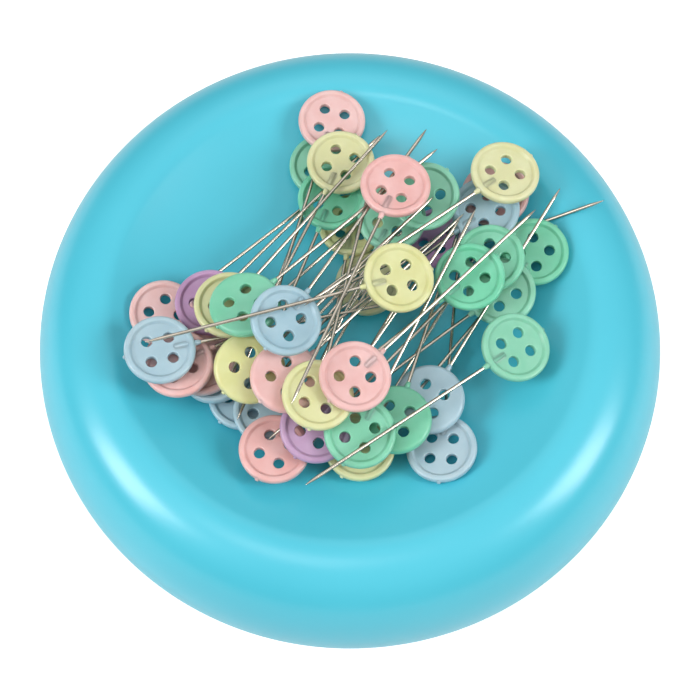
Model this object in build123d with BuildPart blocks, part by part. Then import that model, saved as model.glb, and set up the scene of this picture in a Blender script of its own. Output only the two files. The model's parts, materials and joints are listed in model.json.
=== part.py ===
from build123d import *
import os
from math import cos, hypot, pi, radians, sin, sqrt, tan

import numpy as np

# Magnetic pin bowl: a puffed round dish with a magnet under its saucer and a heap of flat
# button-head pins on it. Millimetres, +Z up. The origin is the middle of the footprint, on
# the surface that the rubber feet stand on.

# Outside of the bowl
rim_diameter = 112.0
rim_height = 30.0
shoulder_width = 12.5
equator_height = 13.0
side_turn = 30.0
inner_roll_radius = 6.0
saucer_edge_slope = 27.0
under_roll_radius = 9.0
under_roll_turn = 50.0
foot_stand = 1.2

# Inside of the moulding
wall = 2.2
bottom_lip = 3.0
cover_ledge = 1.6
boss_diameter = 7.0
boss_inset = 6.0
boss_count = 4
pilot_depth = 9.0

# Base cover and what is fixed to it
cover_thickness = 2.4
cover_gap = 0.25
screw_diameter = 2.6
screw_length = 9.0
screw_clearance = 0.2
screw_head_diameter = 5.0
screw_head_height = 1.2
driver_slot_width = 0.8
driver_slot_depth = 0.6
foot_diameter = 10.0
foot_count = 4
foot_inset = 10.0
foot_recess = 0.8
foot_chamfer = 0.5
foot_gap = 0.1

# Magnet stack under the saucer
magnet_diameter = 44.0
magnet_bore = 14.0
magnet_gap = 0.3
keeper_thickness = 1.5
pad_diameter = 32.0
pad_thickness = 4.25
rib_thickness = 1.8
rib_stop = 1.0

# Pin, with its flat head moulded on the steel shank
pin_length = 50.0
shank_diameter = 0.6
point_length = 2.5
point_tip_share = 0.15
shank_fit = 0.01
head_diameter = 12.0
head_thickness = 1.6
head_recess_diameter = 9.3
head_recess_depth = 0.45
head_hole_diameter = 1.9
head_hole_spacing = 3.7
nub_width = 1.4
nub_length = 2.0
head_grip = 3.6
head_sides = 20
hole_sides = 6
shank_sides = 6

# How the pins lie on each other
pin_gap = 0.08
steepest_slope = 0.4
steepest_roll = 0.3
slope_steps = 41
roll_steps = 13
rest_points = 15
shank_weight = 2.0
roll_weight_share = 0.1

# Each pin: name, colour, where its head is, as shares of the saucer's radius to the right and
# to the back, the way its point points in degrees, 1 face up or -1 back up, and whether it is
# part of the heap or loose on top of it. The first row lies lowest.
pin_shares_table = [
    ("yellow_a", "yellow", 0.08, 0.18, 16, 1, "heap"),
    ("yellow_b", "yellow", 0.01, 0.44, -100, 1, "heap"),
    ("lilac_a", "lilac", 0.38, 0.36, -120, 1, "heap"),
    ("blue_a", "blue", 0.38, -0.61, 84, 1, "heap"),
    ("blue_b", "blue", -0.45, -0.37, 50, 1, "heap"),
    ("blue_c", "blue", -0.34, -0.45, 55, 1, "heap"),
    ("blue_d", "blue", -0.56, -0.28, 40, 1, "heap"),
    ("pink_a", "pink", 0.63, 0.52, -145, 1, "heap"),
    ("yellow_c", "yellow", 0.04, -0.60, 60, 1, "heap"),
    ("pink_b", "pink", -0.79, -0.02, 42, 1, "heap"),
    ("pink_c", "pink", -0.62, -0.26, 46, 1, "heap"),
    ("pink_d", "pink", -0.31, -0.63, 62, 1, "heap"),
    ("green_a", "green", -0.12, 0.69, -110, 1, "heap"),
    ("green_b", "green", -0.08, 0.51, -111, 1, "heap"),
    ("green_c", "green", 0.79, 0.25, -130, 1, "heap"),
    ("green_d", "green", 0.64, 0.06, -144, 1, "heap"),
    ("blue_e", "blue", 0.33, -0.41, 58, -1, "heap"),
    ("green_f", "green", 0.19, -0.51, 72, -1, "heap"),
    ("blue_f", "blue", 0.58, 0.42, -143, 1, "heap"),
    ("green_g", "green", 0.18, 0.40, -116, 1, "heap"),
    ("green_h", "green", 0.59, 0.18, -135, 1, "heap"),
    ("green_i", "green", 0.32, 0.45, -131, 1, "heap"),
    ("green_j", "green", 0.50, 0.08, -141, 1, "heap"),
    ("pink_e", "pink", -0.08, 0.87, -106, 1, "heap"),
    ("yellow_e", "yellow", -0.04, 0.65, -115, 1, "heap"),
    ("pink_f", "pink", -0.71, -0.29, 28, 1, "heap"),
    ("blue_g", "blue", -0.78, -0.25, 15, 1, "heap"),
    ("lilac_b", "lilac", -0.14, -0.56, 56, 1, "heap"),
    ("green_k", "green", 0.04, -0.59, 63, 1, "heap"),
    ("lilac_c", "lilac", -0.59, 0.00, 48, 1, "heap"),
    ("yellow_f", "yellow", -0.50, -0.05, 52, 1, "heap"),
    ("yellow_g", "yellow", -0.41, -0.33, 45, -1, "heap"),
    ("pink_g", "pink", -0.26, -0.38, 46, -1, "heap"),
    ("green_l", "green", -0.43, -0.08, 42, -1, "heap"),
    ("blue_h", "blue", -0.26, -0.17, 57, 1, "heap"),
    ("yellow_i", "yellow", -0.13, -0.46, 77, 1, "heap"),
    ("green_e", "green", 0.69, -0.20, -144, 1, "loose"),
    ("yellow_d", "yellow", 0.66, 0.55, -142, 1, "loose"),
    ("yellow_h", "yellow", 0.20, 0.03, -161, 1, "loose"),
    ("pink_h", "pink", 0.19, 0.44, -113, 1, "loose"),
    ("pink_i", "pink", 0.02, -0.39, 45, 1, "loose"),
]

# Sizes that follow: outer profile
rim_radius = rim_diameter / 2
crest_radius = rim_radius - shoulder_width
side_angle = radians(side_turn)
shoulder_rise = rim_height - equator_height
arc_ratio = cos(side_angle) + sin(side_angle) - 1
side_arc_radius = (shoulder_rise * cos(side_angle) - shoulder_width * (1 - sin(side_angle))) / arc_ratio
shoulder_arc_radius = (shoulder_width * sin(side_angle) - shoulder_rise * (1 - cos(side_angle))) / arc_ratio
edge_angle = radians(saucer_edge_slope)
saucer_radius = crest_radius - inner_roll_radius * sin(edge_angle)
saucer_edge_height = rim_height - inner_roll_radius * (1 - cos(edge_angle))
saucer_sphere_radius = saucer_radius / sin(edge_angle)
saucer_sphere_height = saucer_edge_height + saucer_sphere_radius * cos(edge_angle)
saucer_floor_height = saucer_sphere_height - saucer_sphere_radius
under_angle = radians(under_roll_turn)
under_radius = rim_radius - under_roll_radius * (1 - cos(under_angle))
under_height = equator_height - under_roll_radius * sin(under_angle)
base_radius = under_radius - (under_height - foot_stand) * tan(under_angle)

# Sizes that follow: cover, magnet stack and pins
cover_opening_radius = base_radius - bottom_lip
cover_top = foot_stand + cover_thickness
keeper_bottom = cover_top + pad_thickness
magnet_bottom = keeper_bottom + keeper_thickness
magnet_seat = saucer_floor_height - wall
magnet_thickness = magnet_seat - magnet_bottom
rib_bottom = magnet_bottom + rib_stop
seat_radius = magnet_diameter / 2 + magnet_gap + rib_thickness
boss_circle_radius = cover_opening_radius - boss_inset
foot_circle_radius = cover_opening_radius - foot_inset
head_radius = head_diameter / 2
shank_radius = shank_diameter / 2
point_reach = pin_length - head_radius

os.makedirs("parts", exist_ok=True)


def save(part, name):
    part.label = name
    export_step(part, f"parts/{name}.step")


def outer_profile():
    """The bowl's outer section, from the bottom edge round the rim to the middle of the saucer."""
    taper = Line((base_radius, foot_stand), (under_radius, under_height))
    under = JernArc(taper @ 1, taper % 1, under_roll_radius, under_roll_turn)
    side = JernArc(under @ 1, (0, 1), side_arc_radius, side_turn)
    shoulder = JernArc(side @ 1, side % 1, shoulder_arc_radius, 90 - side_turn)
    roll = JernArc(shoulder @ 1, (-1, 0), inner_roll_radius, saucer_edge_slope)
    saucer = JernArc(roll @ 1, roll % 1, saucer_sphere_radius, -saucer_edge_slope)
    return saucer @ 1


def under_wall(point, outward):
    """A point one wall inside the outer profile, where that profile faces outward degrees up."""
    return (point[0] - wall * cos(radians(outward)), point[1] - wall * sin(radians(outward)))


# The hollow inside the moulding, less the magnet's rib and the screw bosses
side_top = (rim_radius - side_arc_radius * (1 - cos(side_angle)), equator_height + side_arc_radius * sin(side_angle))
with BuildPart() as hollow:
    with BuildSketch(Plane.XZ):
        with BuildLine():
            Polyline(
                (0, cover_top),
                (cover_opening_radius - cover_ledge, cover_top),
                under_wall((under_radius, under_height), -under_roll_turn),
                under_wall((rim_radius, equator_height), 0),
                under_wall(side_top, side_turn),
                under_wall((crest_radius, rim_height), 90),
                under_wall((saucer_radius, saucer_edge_height), 90 + saucer_edge_slope),
                (seat_radius, magnet_seat),
                (0, magnet_seat),
                close=True,
            )
        make_face()
    revolve(axis=Axis.Z)
    with BuildSketch(Plane.XY.offset(rib_bottom)):
        Circle(seat_radius)
        Circle(seat_radius - rib_thickness, mode=Mode.SUBTRACT)
    extrude(amount=magnet_seat - rib_bottom + wall, mode=Mode.SUBTRACT)
    with BuildSketch(Plane.XY.offset(cover_top)):
        with PolarLocations(boss_circle_radius, boss_count, start_angle=180 / boss_count):
            Circle(boss_diameter / 2)
    extrude(amount=rim_height - cover_top, mode=Mode.SUBTRACT)

# Top shell: the turquoise moulding, with its opening for the base cover
with BuildPart() as top_shell:
    with BuildSketch(Plane.XZ):
        with BuildLine():
            saucer_centre = outer_profile()
            Polyline(saucer_centre, (0, foot_stand), (base_radius, foot_stand))
        make_face()
    revolve(axis=Axis.Z)
    add(hollow.part, mode=Mode.SUBTRACT)
    with BuildSketch(Plane.XY.offset(foot_stand)):
        Circle(cover_opening_radius)
    extrude(amount=cover_thickness, mode=Mode.SUBTRACT)
    with BuildSketch(Plane.XY.offset(cover_top)):
        with PolarLocations(boss_circle_radius, boss_count, start_angle=180 / boss_count):
            Circle(screw_diameter / 2 + shank_fit)
    extrude(amount=pilot_depth, mode=Mode.SUBTRACT)
save(top_shell.part, "top_shell")

# Base cover: a plate in the shell's opening, with sunk screw holes and recesses for the feet
with BuildPart() as base_cover:
    with BuildSketch(Plane.XY.offset(foot_stand)):
        Circle(cover_opening_radius - cover_gap)
        with PolarLocations(boss_circle_radius, boss_count, start_angle=180 / boss_count):
            Circle(screw_diameter / 2 + screw_clearance, mode=Mode.SUBTRACT)
    extrude(amount=cover_thickness)
    with BuildSketch(Plane.XY.offset(foot_stand)):
        with PolarLocations(boss_circle_radius, boss_count, start_angle=180 / boss_count):
            Circle(screw_head_diameter / 2 + screw_clearance)
    extrude(amount=screw_head_height, mode=Mode.SUBTRACT)
    with BuildSketch(Plane.XY.offset(foot_stand)):
        with PolarLocations(foot_circle_radius, foot_count):
            Circle(foot_diameter / 2 + foot_gap)
    extrude(amount=foot_recess, mode=Mode.SUBTRACT)
save(base_cover.part, "base_cover")

# Cover screws: slotted heads flush with the cover's underside
with BuildPart() as cover_screws:
    with BuildSketch(Plane.XY.offset(foot_stand)):
        with PolarLocations(boss_circle_radius, boss_count, start_angle=180 / boss_count):
            Circle(screw_head_diameter / 2)
    extrude(amount=screw_head_height)
    with BuildSketch(Plane.XY.offset(foot_stand)):
        with PolarLocations(boss_circle_radius, boss_count, start_angle=180 / boss_count):
            Circle(screw_diameter / 2)
    extrude(amount=screw_length)
    with BuildSketch(Plane.XY.offset(foot_stand)):
        with PolarLocations(boss_circle_radius, boss_count, start_angle=180 / boss_count):
            Rectangle(screw_head_diameter, driver_slot_width)
    extrude(amount=driver_slot_depth, mode=Mode.SUBTRACT)
save(cover_screws.part, "cover_screws")

# Rubber feet: stuck in the cover's recesses, and standing proud of the shell
with BuildPart() as rubber_feet:
    with BuildSketch(Plane.XY):
        with PolarLocations(foot_circle_radius, foot_count):
            Circle(foot_diameter / 2)
    extrude(amount=foot_stand + foot_recess)
    chamfer(rubber_feet.edges().group_by(Axis.Z)[0], length=foot_chamfer)
save(rubber_feet.part, "rubber_feet")

# Ring magnet, against its flat seat under the saucer
with BuildPart() as ring_magnet:
    with BuildSketch(Plane.XY.offset(magnet_bottom)):
        Circle(magnet_diameter / 2)
        Circle(magnet_bore / 2, mode=Mode.SUBTRACT)
    extrude(amount=magnet_thickness)
save(ring_magnet.part, "ring_magnet")

# Steel keeper plate, which turns the magnet's field up through the saucer
with BuildPart() as keeper_plate:
    with BuildSketch(Plane.XY.offset(keeper_bottom)):
        Circle(magnet_diameter / 2)
    extrude(amount=keeper_thickness)
save(keeper_plate.part, "keeper_plate")

# Foam pad, pressed between the keeper and the base cover
with BuildPart() as foam_pad:
    with BuildSketch(Plane.XY.offset(cover_top)):
        Circle(pad_diameter / 2)
    extrude(amount=pad_thickness)
save(foam_pad.part, "foam_pad")

# One pin head, lying flat: its middle at the origin, its face up and its shank along +X
grip_start = head_radius - head_grip
with BuildPart() as head:
    with BuildSketch(Plane.XY.offset(-head_thickness / 2)):
        RegularPolygon(head_radius, head_sides)
    extrude(amount=head_thickness)
    with BuildSketch(Plane.YZ.offset(grip_start)):
        RegularPolygon(nub_width / 2, shank_sides)
    extrude(amount=head_grip + nub_length)
    with BuildSketch(Plane.XY.offset(head_thickness / 2)):
        RegularPolygon(head_recess_diameter / 2, head_sides)
    extrude(amount=-head_recess_depth, mode=Mode.SUBTRACT)
    with BuildSketch(Plane.XY.offset(-head_thickness / 2)):
        with GridLocations(head_hole_spacing, head_hole_spacing, 2, 2):
            RegularPolygon(head_hole_diameter / 2, hole_sides)
    extrude(amount=head_thickness, mode=Mode.SUBTRACT)
    with BuildSketch(Plane.YZ.offset(grip_start)):
        RegularPolygon(shank_radius + shank_fit, shank_sides)
    extrude(amount=head_grip + nub_length, mode=Mode.SUBTRACT)

# One steel shank in the same place, from inside the head to its point
with BuildPart() as shank:
    with BuildSketch(Plane.YZ.offset(grip_start)):
        RegularPolygon(shank_radius, shank_sides)
    extrude(amount=point_reach - point_length - grip_start)
    with BuildSketch(Plane.YZ.offset(point_reach - point_length)):
        RegularPolygon(shank_radius, shank_sides)
    with BuildSketch(Plane.YZ.offset(point_reach)):
        RegularPolygon(shank_radius * point_tip_share, shank_sides)
    loft()


def bowl_surface(radius):
    """Height of the bowl's upper surface at a radius, or of the table where that is past the rim."""
    if radius < saucer_radius:
        return saucer_sphere_height - sqrt(saucer_sphere_radius**2 - radius**2)
    if radius < side_top[0]:
        bend = inner_roll_radius if radius < crest_radius else shoulder_arc_radius
        return rim_height - bend + sqrt(bend**2 - (radius - crest_radius) ** 2)
    if radius < rim_radius:
        return equator_height + sqrt(side_arc_radius**2 - (radius - rim_radius + side_arc_radius) ** 2)
    return 0


class Pin:
    """A pin seen from above: a disc for the head and a straight strip for the shank."""

    def __init__(self, row):
        self.name, self.colour, right_share, back_share, heading, self.face, self.group = row
        self.centre = np.array([right_share, back_share]) * saucer_radius
        self.along = np.array([cos(radians(heading)), sin(radians(heading))])
        self.across = np.array([-self.along[1], self.along[0]])

    def local(self, point):
        offset = point - self.centre
        return offset @ self.along, offset @ self.across

    def at(self, reach, aside=0.0):
        return self.centre + reach * self.along + aside * self.across

    def rim_points(self, count=16):
        return [self.at(head_radius * cos(2 * pi * k / count), head_radius * sin(2 * pi * k / count)) for k in range(count)]

    def under_disc(self, point):
        return hypot(*self.local(point)) <= head_radius + pin_gap

    def height_at(self, point):
        along, across = self.local(point)
        return self.height + self.slope * along + self.roll * across

    def place(self):
        along = Vector(*self.along, self.slope)
        across = Vector(*self.across, self.roll)
        normal = along.cross(across)
        return Plane(origin=(*self.centre, self.height), x_dir=along, z_dir=normal * self.face).location


def clip_to_disc(pin, disc):
    """The ends of the stretch of one pin's shank that crosses another's head, or nothing."""
    start, aside = disc.local(pin.at(0))
    reach = pin.along @ disc.along
    sideways = pin.along @ disc.across
    middle = -(start * reach + aside * sideways)
    nearest = hypot(start + middle * reach, aside + middle * sideways)
    radius = head_radius + shank_diameter
    if nearest >= radius:
        return []
    half = sqrt(radius**2 - nearest**2)
    low = max(middle - half, head_radius)
    high = min(middle + half, point_reach)
    return [pin.at(low), pin.at(high)] if low < high else []


def clip_to_strip(pin, strip):
    """The ends of the stretch of one pin's shank that crosses another's shank, or nothing."""
    start, aside = strip.local(pin.at(0))
    reach = pin.along @ strip.along
    sideways = pin.along @ strip.across
    low, high = head_radius, point_reach
    for value, rate, least, most in [
        (aside, sideways, -2 * shank_diameter, 2 * shank_diameter),
        (start, reach, head_radius, point_reach),
    ]:
        if rate == 0:
            if not least <= value <= most:
                return []
            continue
        ends = sorted([(least - value) / rate, (most - value) / rate])
        low = max(low, ends[0])
        high = min(high, ends[1])
    return [pin.at(low), pin.at(high)] if low <= high else []


def crossings(pin, other):
    """Each way that two pins cross in plan: its points, half of each pin's thickness, and if heads meet."""
    head_half = head_thickness / 2
    shared = []
    if hypot(*(pin.centre - other.centre)) < head_diameter + pin_gap:
        shared = [p for p in pin.rim_points() if other.under_disc(p)]
        shared += [p for p in other.rim_points() if pin.under_disc(p)]
        shared += [(pin.centre + other.centre) / 2]
    ways = [
        (shared, head_half, head_half, True),
        (clip_to_disc(pin, other), shank_radius, head_half, False),
        (clip_to_disc(other, pin), head_half, shank_radius, False),
        (clip_to_strip(pin, other), shank_radius, shank_radius, False),
    ]
    return [way for way in ways if way[0]]


def drop(pin, below):
    """Lay one pin on the bowl and the pins that lie there, in the lowest place that it can slide into.

    A range of slopes along the shank and rolls about it is tried. For each of them, every place
    where it crosses an earlier pin bars a span of heights. A head never goes under an earlier
    head, and a loose pin never goes under anything.
    """
    slopes = np.linspace(-steepest_slope, steepest_slope, slope_steps)
    rolls = np.linspace(-steepest_roll, steepest_roll, roll_steps)
    slope, roll = (grid.ravel() for grid in np.meshgrid(slopes, rolls))
    tilt = np.sqrt(1 + slope**2 + roll**2)

    def lift(point):
        along, across = pin.local(point)
        return slope * along + roll * across

    rests = [(point, head_thickness / 2) for point in pin.rim_points()]
    rests += [(pin.at(reach), shank_radius) for reach in np.linspace(head_radius, point_reach, rest_points)]
    floors = [bowl_surface(hypot(*point)) + half * tilt + pin_gap - lift(point) for point, half in rests]
    height = np.max(floors, axis=0)

    barred_from, barred_to = [0 * height], [0 * height]
    for other in below:
        for points, half, other_half, heads_meet in crossings(pin, other):
            spans = [other.height_at(point) - lift(point) for point in points]
            apart = half * tilt + other_half * other.tilt + pin_gap
            on_top = heads_meet or pin.group == "loose"
            barred_from.append(0 * height if on_top else np.min(spans, axis=0) - apart)
            barred_to.append(np.max(spans, axis=0) + apart)

    inside = (barred_from < height) & (height < barred_to)
    while inside.any():
        height = np.where(inside, barred_to, height).max(axis=0)
        inside = (barred_from < height) & (height < barred_to)

    shank_middle_height = height + slope * point_reach / 2
    roll_cost = roll_weight_share * head_diameter * abs(roll)
    best = np.argmin(height + shank_weight * shank_middle_height + roll_cost)
    pin.height, pin.slope, pin.roll, pin.tilt = height[best], slope[best], roll[best], tilt[best]


pins = [Pin(row) for row in pin_shares_table]
for count, pin in enumerate(pins):
    drop(pin, pins[:count])
places = {pin.name: pin.place() for pin in pins}

# Loose pins, each with its head and its shank
for pin in pins:
    if pin.group == "loose":
        with BuildPart() as loose_head:
            with Locations(places[pin.name]):
                add(head.part)
        save(loose_head.part, f"pin_{pin.name}_head")
        with BuildPart() as loose_shank:
            with Locations(places[pin.name]):
                add(shank.part)
        save(loose_shank.part, f"pin_{pin.name}_shank")

# Heap of pins, with the heads of one colour together
for colour in ["pink", "yellow", "green", "blue", "lilac"]:
    with BuildPart() as heap_heads:
        with Locations([places[pin.name] for pin in pins if pin.group == "heap" and pin.colour == colour]):
            add(head.part)
    save(heap_heads.part, f"heap_heads_{colour}")

with BuildPart() as heap_shanks:
    with Locations([places[pin.name] for pin in pins if pin.group == "heap"]):
        add(shank.part)
save(heap_shanks.part, "heap_shanks")
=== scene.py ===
import json
from math import cos, pi, radians, sin, tan

import bmesh
import bpy
import numpy as np
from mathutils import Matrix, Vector


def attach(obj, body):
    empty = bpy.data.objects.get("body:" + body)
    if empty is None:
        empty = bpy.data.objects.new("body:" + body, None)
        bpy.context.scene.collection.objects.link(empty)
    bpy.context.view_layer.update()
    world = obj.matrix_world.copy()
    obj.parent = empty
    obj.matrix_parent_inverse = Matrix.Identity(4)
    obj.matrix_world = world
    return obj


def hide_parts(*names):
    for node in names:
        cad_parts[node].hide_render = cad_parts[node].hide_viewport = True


# Magnetic pin bowl: the bowl's smooth shell, and every pin with its moulded head, laid where
# the frame's pins lie. Metres.

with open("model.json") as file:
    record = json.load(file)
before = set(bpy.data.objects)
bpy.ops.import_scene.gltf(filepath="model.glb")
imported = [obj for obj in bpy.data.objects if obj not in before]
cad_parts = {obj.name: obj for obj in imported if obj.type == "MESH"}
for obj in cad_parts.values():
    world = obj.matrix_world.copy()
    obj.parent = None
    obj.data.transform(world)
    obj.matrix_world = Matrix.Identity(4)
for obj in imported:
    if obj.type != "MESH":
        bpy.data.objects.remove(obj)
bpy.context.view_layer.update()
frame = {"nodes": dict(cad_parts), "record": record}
nodes = frame["nodes"]

mm = 0.001

# Bowl's shell, in the sizes of the frame's solid
rim_radius = 56.0 * mm
rim_height = 30.0 * mm
crest_radius = 43.5 * mm
equator_height = 13.0 * mm
side_turn = radians(30)
inner_roll_radius = 6.0 * mm
saucer_edge_slope = radians(27)
under_roll_radius = 9.0 * mm
under_roll_turn = radians(50)
foot_stand = 1.2 * mm
wall = 2.2 * mm
bottom_lip = 3.0 * mm
cover_ledge = 1.6 * mm
cover_thickness = 2.4 * mm
boss_inset = 6.0 * mm
boss_radius = 3.5 * mm
boss_overrun = 0.88 * mm
pilot_radius = 1.3 * mm
boss_count = 4
seat_radius = 24.1 * mm
rib_thickness = 1.8 * mm
rib_depth = 7.0 * mm
bottom_edge_round = 0.5 * mm
bottom_edge_out_share = 0.5
bottom_edge_up_share = 0.4
crease_angle = radians(40)

# Pin
head_radius = 6.0 * mm
head_thickness = 1.6 * mm
head_grip = 3.6 * mm
recess_radius = 4.65 * mm
recess_depth = 0.45 * mm
recess_fillet = 0.18 * mm
recess_fillet_run = 0.15 * mm
recess_fillet_end = radians(-20)
crown_inset = 0.5 * mm
crown_round = 0.14 * mm
crown_start = radians(150)
hole_radius = 0.95 * mm
hole_spacing = 3.7 * mm
hole_edge_round = 0.14 * mm
face_band = 0.06 * mm
front_edge_round = 0.5 * mm
back_edge_round = 0.7 * mm
nub_radius = 0.62 * mm
nub_start_radius = 0.496 * mm
nub_root = 0.4 * mm
nub_tip_radius = 0.42 * mm
nub_mouth_radius = 0.345 * mm
nub_straight = 0.7 * mm
nub_length = 1.0 * mm
ridge_half_width = 0.62 * mm
ridge_height = 0.09 * mm
ridge_inset = 0.3 * mm
ridge_overrun = 0.2 * mm
ridge_sunk = 0.03 * mm
gate_radius = 0.55 * mm
gate_height = 0.3 * mm
gate_crown_radius = 0.275 * mm
gate_crown_height = 0.24 * mm
shank_radius = 0.3 * mm
shank_reach = 44.0 * mm
point_length = 2.5 * mm
point_tip_radius = 0.04 * mm
point_fullness = 1.6
grip_start = head_radius - head_grip

# Nose of the ridge over the buried shank: how far before the ridge's end, as a share of its
# half width, and how much of its full width and height it has there
ridge_nose = [(0.7, 0.02), (0.45, 0.7), (0.0, 1.0)]

# How finely the smooth pieces are cut
bowl_segments = 256
under_steps = 14
side_steps = 14
shoulder_steps = 20
inner_roll_steps = 10
saucer_steps = 40
rim_segments = 72
rim_edge_steps = 7
recess_steps = 4
crown_steps = 3
hole_segments = 24
hole_edge_steps = 4
ridge_steps = 6
shank_segments = 12
point_steps = 6
weld_distance = 0.001 * mm


def linear(red, green, blue):
    """A colour given as it shows on a screen, 0 to 255, in the shader's own linear values."""
    parts = [value / 255 for value in (red, green, blue)]
    return tuple(v / 12.92 if v <= 0.04045 else ((v + 0.055) / 1.055) ** 2.4 for v in parts) + (1.0,)


def arc_points(centre, radius, start, end, steps):
    """Points on an arc in the section plane, from start to end in radians, both ends kept."""
    angles = [start + (end - start) * k / steps for k in range(steps + 1)]
    return [(centre[0] + radius * cos(a), centre[1] + radius * sin(a)) for a in angles]


def lathe(profile, segments):
    """Corners and faces of a section of (radius, height) points turned about Z."""
    verts = []
    faces = []
    rings = []
    for radius, height in profile:
        if radius < weld_distance:
            rings.append([len(verts)])
            verts.append((0.0, 0.0, height))
            continue
        rings.append(list(range(len(verts), len(verts) + segments)))
        for k in range(segments):
            turn = 2 * pi * k / segments
            verts.append((radius * cos(turn), radius * sin(turn), height))
    for low, high in zip(rings, rings[1:]):
        for k in range(segments):
            after = (k + 1) % segments
            ring = [low[k % len(low)], low[after % len(low)], high[after % len(high)], high[k % len(high)]]
            faces.append(tuple(dict.fromkeys(ring)))
    return verts, faces


def new_piece(name, verts, faces, material, body, replaced):
    """A smooth mesh piece that rides on a body, stands in for a CAD node, which it hides, and takes the given
    material.
    """
    mesh = bpy.data.meshes.new(name)
    mesh.from_pydata(verts, [], faces)
    mesh.update()
    for polygon in mesh.polygons:
        polygon.use_smooth = True
    mesh.materials.append(material)
    piece = bpy.data.objects.new(name, mesh)
    bpy.context.scene.collection.objects.link(piece)
    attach(piece, body)
    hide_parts(replaced)
    return piece


# Materials


def node_material(name):
    """A new material, its nodes, its links and its main shader."""
    material = bpy.data.materials.new(name)
    material.use_nodes = True
    tree = material.node_tree
    return material, tree, tree.nodes["Principled BSDF"]


def noise(tree, scale, detail=2.0, roughness=0.5):
    coordinates = tree.nodes.new("ShaderNodeTexCoord")
    texture = tree.nodes.new("ShaderNodeTexNoise")
    texture.inputs["Scale"].default_value = scale
    texture.inputs["Detail"].default_value = detail
    texture.inputs["Roughness"].default_value = roughness
    tree.links.new(coordinates.outputs["Object"], texture.inputs["Vector"])
    return texture.outputs["Fac"]


def ramp(tree, value, low, high, low_colour, high_colour):
    """A colour that goes from one to the other as the value goes from low to high."""
    node = tree.nodes.new("ShaderNodeValToRGB")
    node.color_ramp.elements[0].position = low
    node.color_ramp.elements[0].color = low_colour
    node.color_ramp.elements[1].position = high
    node.color_ramp.elements[1].color = high_colour
    tree.links.new(value, node.inputs["Fac"])
    return node.outputs["Color"]


def spread(tree, value, low, high):
    """The value, from 0 to 1, spread from low to high."""
    node = tree.nodes.new("ShaderNodeMapRange")
    node.inputs["To Min"].default_value = low
    node.inputs["To Max"].default_value = high
    tree.links.new(value, node.inputs["Value"])
    return node.outputs["Result"]


def bump(tree, shader, value, strength, distance):
    node = tree.nodes.new("ShaderNodeBump")
    node.inputs["Strength"].default_value = strength
    node.inputs["Distance"].default_value = distance
    tree.links.new(value, node.inputs["Height"])
    tree.links.new(node.outputs["Normal"], shader.inputs["Normal"])


def bowl_plastic(name, colour, deep_colour, roughness):
    """Glossy moulded plastic with a faint cloud in its colour."""
    material, tree, shader = node_material(name)
    cloud = ramp(tree, noise(tree, scale=22), low=0.3, high=0.7, low_colour=deep_colour, high_colour=colour)
    tree.links.new(cloud, shader.inputs["Base Color"])
    shader.inputs["Roughness"].default_value = roughness
    shader.inputs["IOR"].default_value = 1.5
    return material


def head_plastic(name, colour, deep_colour):
    """Translucent pastel plastic: each head has its own tint, and the buried shank shows faintly."""
    material, tree, shader = node_material(name)
    mottle = noise(tree, scale=260, detail=3.0)
    cloud = ramp(tree, mottle, low=0.35, high=0.7, low_colour=deep_colour, high_colour=colour)
    tint = tree.nodes.new("ShaderNodeAttribute")
    tint.attribute_name = "head_tint"
    own = tree.nodes.new("ShaderNodeHueSaturation")
    tree.links.new(cloud, own.inputs["Color"])
    tree.links.new(spread(tree, tint.outputs["Fac"], low=0.85, high=1.12), own.inputs["Saturation"])
    steel = tree.nodes.new("ShaderNodeAttribute")
    steel.attribute_name = "buried_steel"
    mixed = tree.nodes.new("ShaderNodeMix")
    mixed.data_type = "RGBA"
    mixed.inputs["B"].default_value = buried_steel_colour
    tree.links.new(spread(tree, steel.outputs["Fac"], low=0.0, high=0.2), mixed.inputs["Factor"])
    tree.links.new(own.outputs["Color"], mixed.inputs["A"])
    tree.links.new(mixed.outputs["Result"], shader.inputs["Base Color"])
    gloss = spread(tree, noise(tree, scale=1500, detail=3.0), low=0.26, high=0.40)
    tree.links.new(gloss, shader.inputs["Roughness"])
    bump(tree, shader, noise(tree, scale=900, detail=3.0), strength=0.08, distance=0.05 * mm)
    shader.inputs["IOR"].default_value = 1.49
    shader.inputs["Subsurface Weight"].default_value = 0.45
    shader.inputs["Subsurface Radius"].default_value = (1.0, 0.8, 0.7)
    shader.inputs["Subsurface Scale"].default_value = 1.2 * mm
    return material


# How bright steel is in its duller grains, as a share
worn_shade = 0.82


def steel(name, colour, edge_colour, roughness, grain):
    material, tree, shader = node_material(name)
    worn = tuple(worn_shade * value for value in colour[:3]) + (1.0,)
    shade = ramp(tree, noise(tree, grain, detail=4.0), low=0.3, high=0.7, low_colour=worn, high_colour=colour)
    gloss = spread(tree, noise(tree, 3 * grain, detail=3.0), low=0.7 * roughness, high=1.3 * roughness)
    tree.links.new(shade, shader.inputs["Base Color"])
    tree.links.new(gloss, shader.inputs["Roughness"])
    shader.inputs["Metallic"].default_value = 1.0
    # Edge tint of the reflections: on the pins it is dark brown, a painted dark reflection along the shanks'
    # edges
    shader.inputs["Specular Tint"].default_value = edge_colour
    return material


def matte(name, colour, deep_colour, roughness, grain, depth):
    material, tree, shader = node_material(name)
    grains = noise(tree, grain, detail=6.0)
    shade = ramp(tree, grains, low=0.3, high=0.7, low_colour=deep_colour, high_colour=colour)
    mottle = noise(tree, 2 * grain, detail=3.0)
    gloss = spread(tree, mottle, low=0.9 * roughness, high=min(1.0, 1.1 * roughness))
    tree.links.new(shade, shader.inputs["Base Color"])
    tree.links.new(gloss, shader.inputs["Roughness"])
    bump(tree, shader, noise(tree, 4 * grain, detail=3.0), strength=0.4, distance=depth)
    return material


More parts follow.
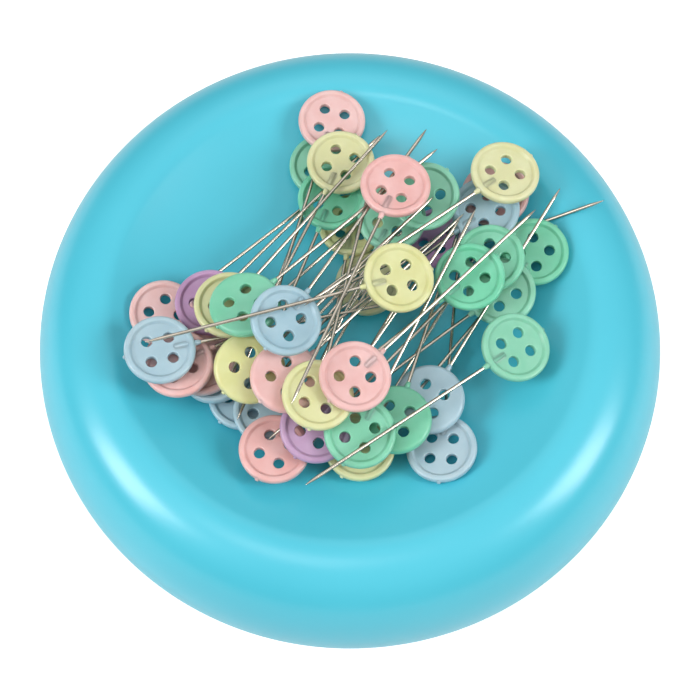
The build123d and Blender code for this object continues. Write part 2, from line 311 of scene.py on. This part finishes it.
turquoise = bowl_plastic("turquoise_plastic", linear(76, 188, 208), linear(69, 182, 203), 0.28)
cover_turquoise = bowl_plastic("cover_plastic", linear(56, 178, 200), linear(50, 170, 193), 0.42)
# Each head colour as it shows on a screen, where it is palest and where it is deepest
pastels = {
    "pink": ((225, 187, 184), (217, 171, 167)),
    "yellow": ((211, 212, 165), (203, 203, 148)),
    "green": ((130, 199, 170), (117, 191, 159)),
    "blue": ((167, 192, 202), (156, 184, 196)),
    "lilac": ((188, 150, 188), (176, 136, 176)),
}
buried_steel_colour = linear(190, 184, 176)
colours = {
    name: head_plastic(f"{name}_plastic", linear(*pale), linear(*deep))
    for name, (pale, deep) in pastels.items()
}
# The pins' dark brown edge tint is painted dark reflection: it darkens the shanks' edges where they would
# mirror dark surroundings
pin_steel = steel("pin_steel", linear(200, 192, 178), linear(104, 92, 76), 0.15, 400)
screw_steel = steel("screw_steel", linear(190, 190, 192), linear(200, 200, 200), 0.32, 900)
keeper_steel = steel("keeper_steel", linear(176, 176, 178), linear(190, 190, 190), 0.4, 700)
foot_rubber = matte("foot_rubber", linear(214, 218, 220), linear(200, 205, 208), 0.6, 500, 0.05 * mm)
magnet_ferrite = matte("magnet_ferrite", linear(64, 64, 67), linear(50, 50, 53), 0.7, 800, 0.05 * mm)
foam = matte("foam", linear(84, 84, 88), linear(60, 60, 64), 0.95, 900, 0.3 * mm)


# Bowl's shell


def bowl_profile():
    """The shell's whole section: round the outside from the bottom lip, down the saucer and back inside."""
    shoulder_rise = rim_height - equator_height
    shoulder_inset = rim_radius - crest_radius
    arc_ratio = cos(side_turn) + sin(side_turn) - 1
    side_radius = (shoulder_rise * cos(side_turn) - shoulder_inset * (1 - sin(side_turn))) / arc_ratio
    shoulder_radius = (shoulder_inset * sin(side_turn) - shoulder_rise * (1 - cos(side_turn))) / arc_ratio
    under_radius = rim_radius - under_roll_radius * (1 - cos(under_roll_turn))
    under_height = equator_height - under_roll_radius * sin(under_roll_turn)
    base_radius = under_radius - (under_height - foot_stand) * tan(under_roll_turn)
    saucer_radius = crest_radius - inner_roll_radius * sin(saucer_edge_slope)
    saucer_edge = rim_height - inner_roll_radius * (1 - cos(saucer_edge_slope))
    sphere_radius = saucer_radius / sin(saucer_edge_slope)
    sphere_height = saucer_edge + sphere_radius * cos(saucer_edge_slope)
    cover_radius = base_radius - bottom_lip
    cover_top = foot_stand + cover_thickness
    seat_height = sphere_height - sphere_radius - wall
    side_top = (
        rim_radius - side_radius * (1 - cos(side_turn)),
        equator_height + side_radius * sin(side_turn),
    )

    under_centre = (rim_radius - under_roll_radius, equator_height)
    side_centre = (rim_radius - side_radius, equator_height)
    shoulder_centre = (crest_radius, rim_height - shoulder_radius)
    inner_centre = (crest_radius, rim_height - inner_roll_radius)
    inner_end = pi / 2 + saucer_edge_slope
    outside = [(base_radius - bottom_edge_round, foot_stand)]
    edge_out = bottom_edge_out_share * bottom_edge_round * sin(under_roll_turn)
    outside += [(base_radius + edge_out, foot_stand + bottom_edge_up_share * bottom_edge_round)]
    arcs = [
        (under_centre, under_roll_radius, -under_roll_turn, 0, under_steps),
        (side_centre, side_radius, 0, side_turn, side_steps),
        (shoulder_centre, shoulder_radius, side_turn, pi / 2, shoulder_steps),
        (inner_centre, inner_roll_radius, pi / 2, inner_end, inner_roll_steps),
        ((0, sphere_height), sphere_radius, saucer_edge_slope - pi / 2, -pi / 2, saucer_steps),
    ]
    for count, arc in enumerate(arcs):
        outside += arc_points(*arc)[min(count, 1) :]
    outside[-1] = (0.0, outside[-1][1])
    under_edge = (
        saucer_radius + wall * sin(saucer_edge_slope),
        saucer_edge - wall * cos(saucer_edge_slope),
    )

    inside = [
        (0.0, seat_height),
        (seat_radius - rib_thickness, seat_height),
        (seat_radius - rib_thickness, seat_height - rib_depth),
        (seat_radius, seat_height - rib_depth),
        (seat_radius, seat_height),
        under_edge,
        (crest_radius, rim_height - wall),
        (side_top[0] - wall * cos(side_turn), side_top[1] - wall * sin(side_turn)),
        (rim_radius - wall, equator_height),
        (under_radius - wall * cos(under_roll_turn), under_height + wall * sin(under_roll_turn)),
        (cover_radius - cover_ledge, cover_top),
        (cover_radius, cover_top),
        (cover_radius, foot_stand),
        (base_radius - bottom_edge_round, foot_stand),
    ]
    boss_circle = cover_radius - boss_inset
    under_slope = (under_edge[1] - seat_height) / (under_edge[0] - seat_radius)
    boss_top = seat_height + under_slope * (boss_circle - seat_radius) + boss_overrun
    return outside, inside, boss_circle, cover_top, boss_top


def bowl_shell():
    """The shell as its turned section and the tubes of its screw bosses."""
    outside, inside, boss_circle, boss_low, boss_high = bowl_profile()
    verts, faces = lathe(outside, bowl_segments)
    inner_verts, inner_faces = lathe(inside, bowl_segments)
    faces += [tuple(index + len(verts) for index in face) for face in inner_faces]
    verts += inner_verts
    tube = [
        (pilot_radius, boss_low),
        (boss_radius, boss_low),
        (boss_radius, boss_high),
        (pilot_radius, boss_high),
        (pilot_radius, boss_low),
    ]
    for count in range(boss_count):
        turn = 2 * pi * (count + 0.5) / boss_count
        shift = (boss_circle * cos(turn), boss_circle * sin(turn))
        tube_verts, tube_faces = lathe(tube, hole_segments)
        faces += [tuple(index + len(verts) for index in face) for face in tube_faces]
        verts += [(x + shift[0], y + shift[1], z) for x, y, z in tube_verts]
    piece = new_piece("bowl_shell", verts, faces, turquoise, "root", "top_shell")
    tidy_mesh(piece.data, crease_angle)


def tidy_mesh(mesh, sharp_angle):
    """Joins doubled corners, turns the faces outwards and keeps edges sharper than the angle sharp."""
    bm = bmesh.new()
    bm.from_mesh(mesh)
    bmesh.ops.remove_doubles(bm, verts=bm.verts, dist=weld_distance)
    bmesh.ops.recalc_face_normals(bm, faces=bm.faces)
    for edge in bm.edges:
        edge.smooth = not edge.is_manifold or edge.calc_face_angle() < sharp_angle
    bm.to_mesh(mesh)
    bm.free()


# Pins: where each one lies

# How near 1 the product of two directions is when they count as the same
same_way = 0.999
nearly_same_way = 0.99


def solids_of(node):
    """A CAD node's separate solids, from left to right: each one's corners, and its faces' middles,
    normals and areas."""
    bm = bmesh.new()
    bm.from_mesh(nodes[node].data)
    bmesh.ops.remove_doubles(bm, verts=bm.verts, dist=weld_distance)
    bm.normal_update()
    unseen = dict.fromkeys(bm.verts)
    solids = []
    while unseen:
        reached = [next(iter(unseen))]
        del unseen[reached[0]]
        for vert in reached:
            for edge in vert.link_edges:
                other = edge.other_vert(vert)
                if other in unseen:
                    del unseen[other]
                    reached.append(other)
        faces = dict.fromkeys(face for vert in reached for face in vert.link_faces)
        solids.append({
            "corners": np.array([vert.co[:] for vert in reached]),
            "middles": np.array([face.calc_center_median()[:] for face in faces]),
            "normals": np.array([face.normal[:] for face in faces]),
            "areas": np.array([face.calc_area() for face in faces]),
        })
    bm.free()
    return sorted(solids, key=lambda solid: tuple(solid["corners"].mean(axis=0)))


def shank_line(solid):
    """Where a shank starts inside its head, and the way it points."""
    corners = solid["corners"]
    far = corners[np.argmax(np.linalg.norm(corners - corners.mean(axis=0), axis=1))]
    near = corners[np.argmax(np.linalg.norm(corners - far, axis=1))]
    axis = (far - near) / np.linalg.norm(far - near)
    ends = []
    for end in (far, near):
        ring = corners[np.abs((corners - end) @ axis) < shank_radius]
        offsets = ring - ring.mean(axis=0)
        outwards = offsets - np.outer(offsets @ axis, axis)
        ends.append((np.linalg.norm(outwards, axis=1).max(), ring.mean(axis=0)))
    tip, start = (end[1] for end in sorted(ends, key=lambda end: end[0]))
    return start, (tip - start) / np.linalg.norm(tip - start)


def pin_place(start, along, head):
    """The matrix that lays a pin made flat at the origin, face up and pointing along +X, in its place."""
    centre = start - along * grip_start
    flat_areas = [
        head["areas"][np.abs(head["normals"] @ normal) > same_way].sum()
        for normal in head["normals"]
    ]
    normal = head["normals"][int(np.argmax(flat_areas))]
    normal = normal - along * (normal @ along)
    normal /= np.linalg.norm(normal)
    flat = np.abs(head["normals"] @ normal) > nearly_same_way
    height = (head["middles"] - centre) @ normal
    half = head_thickness / 2
    near_face = half / 4
    over = head["areas"][flat & (np.abs(height - half) < near_face)].sum()
    under = head["areas"][flat & (np.abs(height + half) < near_face)].sum()
    if over > under:
        normal = -normal
    across = np.cross(normal, along)
    matrix = np.eye(4)
    matrix[:3, 0], matrix[:3, 1], matrix[:3, 2], matrix[:3, 3] = along, across, normal, centre
    return matrix


def pins_of(head_nodes, shank_node):
    """Each pin as its head's node, its shank's node and its place."""
    lines = [shank_line(solid) for solid in solids_of(shank_node)]
    pins = []
    for head_node in head_nodes:
        for head in solids_of(head_node):
            middle = head["corners"].mean(axis=0)
            start, along = min(
                lines,
                key=lambda line: np.linalg.norm(line[0] - line[1] * grip_start - middle),
            )
            pins.append((head_node, shank_node, pin_place(start, along, head)))
    return pins


# Pins: the shapes, each made flat at the origin


def rings_between(bm, rings):
    """Quads between rings of corners that have the same count."""
    for low, high in zip(rings, rings[1:]):
        for k in range(len(low)):
            after = (k + 1) % len(low)
            bm.faces.new((low[k], low[after], high[after], high[k]))


def ring_at(bm, centre, radius, height, segments):
    turns = [2 * pi * k / segments for k in range(segments)]
    return [bm.verts.new((centre[0] + radius * cos(t), centre[1] + radius * sin(t), height)) for t in turns]


def fill_between(bm, rings, normal):
    """One flat face region inside the first ring and outside the others."""
    edges = []
    for ring in rings:
        for k in range(len(ring)):
            edges.append(bm.edges.get((ring[k], ring[(k + 1) % len(ring)])))
    bmesh.ops.triangle_fill(bm, edges=edges, use_beauty=True, normal=normal)


def head_shape():
    """The moulded head: rounded rim, sunk face, four holes with eased edges, and the nub round the shank."""
    half = head_thickness / 2
    floor = half - recess_depth
    bm = bmesh.new()
    fillet_centre = (recess_radius - face_band, floor + recess_fillet)
    crown_centre = (recess_radius + crown_inset, half - crown_round)
    front_centre = (head_radius - front_edge_round, half - front_edge_round)
    back_centre = (head_radius - back_edge_round, back_edge_round - half)
    outline = [(recess_radius - recess_fillet_run, floor)]
    arcs = [
        (fillet_centre, recess_fillet, -pi / 2, recess_fillet_end, recess_steps),
        (crown_centre, crown_round, crown_start, pi / 2, crown_steps),
        (front_centre, front_edge_round, pi / 2, 0, rim_edge_steps),
        (back_centre, back_edge_round, 0, -pi / 2, rim_edge_steps),
    ]
    for arc in arcs:
        outline += arc_points(*arc)
    outline += [(head_radius - back_edge_round - 2 * face_band, -half)]
    rings = [ring_at(bm, (0, 0), radius, height, rim_segments) for radius, height in outline]
    rings_between(bm, rings)
    front = [rings[0]]
    back = [rings[-1]]
    edge = hole_radius + hole_edge_round
    top_centre = (edge, floor - hole_edge_round)
    under_centre = (edge, hole_edge_round - half)
    for x in (-hole_spacing / 2, hole_spacing / 2):
        for y in (-hole_spacing / 2, hole_spacing / 2):
            section = [(edge + face_band, floor)]
            section += arc_points(top_centre, hole_edge_round, pi / 2, pi, hole_edge_steps)
            section += arc_points(under_centre, hole_edge_round, pi, 3 * pi / 2, hole_edge_steps)
            section += [(edge + face_band, -half)]
            hole = [ring_at(bm, (x, y), radius, height, hole_segments) for radius, height in section]
            rings_between(bm, hole)
            front.append(hole[0])
            back.append(hole[-1])
    fill_between(bm, front, (0, 0, 1))
    fill_between(bm, back, (0, 0, -1))

    nub = [
        (grip_start, 0.0),
        (grip_start, nub_start_radius),
        (head_radius - nub_root, nub_radius),
        (head_radius + nub_straight, nub_tip_radius),
        (head_radius + nub_length, nub_mouth_radius),
        (head_radius + nub_length, 0.0),
    ]
    along_axis(bm, nub, shank_segments)

    gate = [
        (-head_radius - gate_height, 0.0),
        (-head_radius - gate_crown_height, gate_crown_radius),
        (-head_radius + gate_height, gate_radius),
        (-head_radius + gate_height, 0.0),
    ]
    along_axis(bm, gate, shank_segments)
    bmesh.ops.recalc_face_normals(bm, faces=bm.faces)
    gate_corners = len(bm.verts)

    ridge_end = grip_start + ridge_inset
    places = [(ridge_end - ridge_half_width * before, share) for before, share in ridge_nose]
    places.append((recess_radius + ridge_overrun, 1.0))
    ridge_rows = []
    for reach, share in places:
        row = []
        for k in range(ridge_steps + 1):
            angle = pi * k / ridge_steps
            side = ridge_half_width * share * cos(angle)
            rise = ridge_height * share * sin(angle)
            row.append(bm.verts.new((reach, side, floor - ridge_sunk + rise)))
        ridge_rows.append(row)
    for low, high in zip(ridge_rows, ridge_rows[1:]):
        for k in range(ridge_steps):
            bm.faces.new((low[k], low[k + 1], high[k + 1], high[k]))
    bm.verts.index_update()
    verts = np.array([vert.co[:] for vert in bm.verts])
    faces = [tuple(vert.index for vert in face.verts) for face in bm.faces]
    buried = 1 - np.abs(verts[:, 1]) / ridge_half_width
    buried[:gate_corners] = 0.0
    bm.free()
    return verts, faces, buried


def along_axis(bm, section, segments):
    """A closed round shape about +X, from points of (reach, radius) that start and end on the axis."""
    rings = []
    for reach, radius in section:
        if radius < weld_distance:
            rings.append([bm.verts.new((reach, 0, 0))] * segments)
            continue
        turns = [2 * pi * k / segments for k in range(segments)]
        rings.append([bm.verts.new((reach, radius * cos(t), radius * sin(t))) for t in turns])
    for low, high in zip(rings, rings[1:]):
        for k in range(segments):
            after = (k + 1) % segments
            ring = tuple(dict.fromkeys((low[k], high[k], high[after], low[after])))
            bm.faces.new(ring)


def shank_shape():
    """The polished shank: a thin rod with a long fine point."""
    bm = bmesh.new()
    section = [(grip_start, 0.0), (grip_start, shank_radius), (head_radius + nub_length, shank_radius)]
    for k in range(point_steps + 1):
        share = k / point_steps
        radius = point_tip_radius + (shank_radius - point_tip_radius) * (1 - share**point_fullness)
        section.append((shank_reach - point_length * (1 - share), radius))
    section.append((shank_reach, 0.0))
    along_axis(bm, section, shank_segments)
    bmesh.ops.recalc_face_normals(bm, faces=bm.faces)
    bm.verts.index_update()
    verts = np.array([vert.co[:] for vert in bm.verts])
    faces = [tuple(vert.index for vert in face.verts) for face in bm.faces]
    bm.free()
    return verts, faces


def laid(shape_verts, shape_faces, places):
    """Corners and faces of one shape laid in several places."""
    verts = []
    faces = []
    for place in places:
        faces += [tuple(index + len(verts) for index in face) for face in shape_faces]
        verts += [tuple(corner) for corner in shape_verts @ place[:3, :3].T + place[:3, 3]]
    return verts, faces


# Step that keeps the tints of neighbouring heads apart
golden_share = 0.618034


def lay_pins():
    """Every pin's smooth head and shank, in the place of the solids that they stand for."""
    head_verts, head_faces, buried = head_shape()
    shank_verts, shank_faces = shank_shape()
    groups = [([f"heap_heads_{colour}" for colour in colours], "heap_shanks")]
    own_heads = [name for name in nodes if name.startswith("pin_") and name.endswith("_head")]
    loose = sorted(name[: -len("_head")] for name in own_heads)
    groups += [([f"{name}_head"], f"{name}_shank") for name in loose]
    count = 0
    for head_nodes, shank_node in groups:
        pins = pins_of(head_nodes, shank_node)
        body = body_holding(shank_node)
        for head_node in head_nodes:
            places = [place for node, _, place in pins if node == head_node]
            colour = next(name for name in colours if name in head_node)
            verts, faces = laid(head_verts, head_faces, places)
            name = f"{head_node}_moulded"
            piece = new_piece(name, verts, faces, colours[colour], body, head_node)
            tints = np.repeat([((count + k) * golden_share) % 1 for k in range(len(places))], len(head_verts))
            count += len(places)
            for layer_name, values in (("head_tint", tints), ("buried_steel", np.tile(buried, len(places)))):
                layer = piece.data.attributes.new(layer_name, "FLOAT", "POINT")
                layer.data.foreach_set("value", values.astype(np.float32))
        verts, faces = laid(shank_verts, shank_faces, [place for _, _, place in pins])
        new_piece(f"{shank_node}_polished", verts, faces, pin_steel, body, shank_node)


def body_holding(node):
    """The body that a CAD node is on."""
    bodies = frame["record"]["behaviour"]["bodies"]
    return next(body for body, members in bodies.items() if node in members)


# Nodes that keep the frame's own shape


def finish_nodes():
    """Gives the pieces whose shape is the frame's own their finish."""
    finishes = {
        "base_cover": cover_turquoise,
        "cover_screws": screw_steel,
        "rubber_feet": foot_rubber,
        "ring_magnet": magnet_ferrite,
        "keeper_plate": keeper_steel,
        "foam_pad": foam,
    }
    for name, material in finishes.items():
        nodes[name].data.materials.clear()
        nodes[name].data.materials.append(material)


# Stage, light and camera

floor_size = 6.0
floor_white = (0.82, 0.82, 0.82, 1)
floor_glow = 0.55
ambient_level = 0.44
white_level = 1.0
bowl_middle = (0, 0, 15 * mm)

# What shiny things see of the surroundings: how high the look goes, as a share of straight up,
# and how bright it is there
low_surroundings = (0.3, 0.22)
high_surroundings = (0.95, 1.3)


def white_stage():
    """A white floor and surroundings, as the camera and shiny things see them, with a soft shadow kept."""
    mesh = bpy.data.meshes.new("floor")
    half = floor_size / 2
    corners = [(-half, -half, 0), (half, -half, 0), (half, half, 0), (-half, half, 0)]
    mesh.from_pydata(corners, [], [(0, 1, 2, 3)])
    floor = bpy.data.objects.new("floor", mesh)
    bpy.context.scene.collection.objects.link(floor)
    material, tree, shader = node_material("floor_white")
    shader.inputs["Base Color"].default_value = floor_white
    shader.inputs["Roughness"].default_value = 0.9
    shader.inputs["Specular IOR Level"].default_value = 0.0
    path = tree.nodes.new("ShaderNodeLightPath")
    seen = tree.nodes.new("ShaderNodeMath")
    seen.operation = "MULTIPLY"
    seen.inputs[1].default_value = floor_glow
    tree.links.new(path.outputs["Is Camera Ray"], seen.inputs[0])
    shader.inputs["Emission Color"].default_value = (1, 1, 1, 1)
    tree.links.new(seen.outputs["Value"], shader.inputs["Emission Strength"])
    mesh.materials.append(material)

    world = bpy.data.worlds.new("white_surroundings")
    bpy.context.scene.world = world
    world.use_nodes = True
    tree = world.node_tree
    background = tree.nodes["Background"]
    background.inputs["Color"].default_value = (1, 1, 1, 1)
    path = tree.nodes.new("ShaderNodeLightPath")
    seen = tree.nodes.new("ShaderNodeMath")
    seen.operation = "ADD"
    tree.links.new(path.outputs["Is Camera Ray"], seen.inputs[0])
    tree.links.new(path.outputs["Is Transmission Ray"], seen.inputs[1])
    plain = spread(tree, seen.outputs["Value"], ambient_level, white_level)

    # Shiny things see surroundings that darken towards the horizon
    way = tree.nodes.new("ShaderNodeTexCoord")
    split = tree.nodes.new("ShaderNodeSeparateXYZ")
    tree.links.new(way.outputs["Generated"], split.inputs["Vector"])
    mirrored = tree.nodes.new("ShaderNodeMapRange")
    mirrored.inputs["From Min"].default_value = low_surroundings[0]
    mirrored.inputs["From Max"].default_value = high_surroundings[0]
    mirrored.inputs["To Min"].default_value = low_surroundings[1]
    mirrored.inputs["To Max"].default_value = high_surroundings[1]
    tree.links.new(split.outputs["Z"], mirrored.inputs["Value"])
    strength = tree.nodes.new("ShaderNodeMix")
    tree.links.new(path.outputs["Is Glossy Ray"], strength.inputs["Factor"])
    tree.links.new(plain, strength.inputs["A"])
    tree.links.new(mirrored.outputs["Result"], strength.inputs["B"])
    tree.links.new(strength.outputs["Result"], background.inputs["Strength"])


def softbox(name, direction, distance, width, height, power):
    """A square-edged soft lamp that looks at the bowl from a direction."""
    lamp = bpy.data.lights.new(name, "AREA")
    lamp.shape = "RECTANGLE"
    lamp.size = width
    lamp.size_y = height
    lamp.energy = power
    holder = bpy.data.objects.new(name, lamp)
    holder.location = Vector(bowl_middle) + Vector(direction).normalized() * distance
    holder.rotation_euler = (Vector(bowl_middle) - holder.location).to_track_quat("-Z", "Y").to_euler()
    bpy.context.scene.collection.objects.link(holder)


# Each lamp: name, direction from the bowl, distance, width, height and watts
lamps = [
    ("left_softbox", (-0.73, -0.25, 0.63), 0.55, 0.17, 0.27, 1.9),
    ("right_softbox", (0.76, -0.20, 0.62), 0.55, 0.17, 0.27, 1.7),
    ("back_softbox", (0.05, 0.75, 0.85), 0.8, 0.5, 0.3, 0.3),
    ("top_softbox", (-0.12, -0.13, 0.99), 0.9, 0.25, 0.25, 0.75),
]

# Camera
camera_elevation = radians(69.62)
camera_distance = 0.300
camera_aim = (0.0, -0.002645, 0.015)
focal_pixels = 1664.0
image_pixels = 700.0
sensor_width_mm = 36.0
near_clip = 10 * mm


def camera():
    view = bpy.data.cameras.new("camera")
    view.sensor_width = sensor_width_mm
    view.lens = focal_pixels * sensor_width_mm / image_pixels
    view.clip_start = near_clip
    holder = bpy.data.objects.new("camera", view)
    direction = Vector((0, -cos(camera_elevation), sin(camera_elevation)))
    holder.location = Vector(camera_aim) + direction * camera_distance
    holder.rotation_euler = (-direction).to_track_quat("-Z", "Y").to_euler()
    bpy.context.scene.collection.objects.link(holder)
    bpy.context.scene.camera = holder


camera()
bowl_shell()
lay_pins()
finish_nodes()
white_stage()
for lamp in lamps:
    softbox(*lamp)
bpy.context.scene.view_settings.view_transform = "Standard"
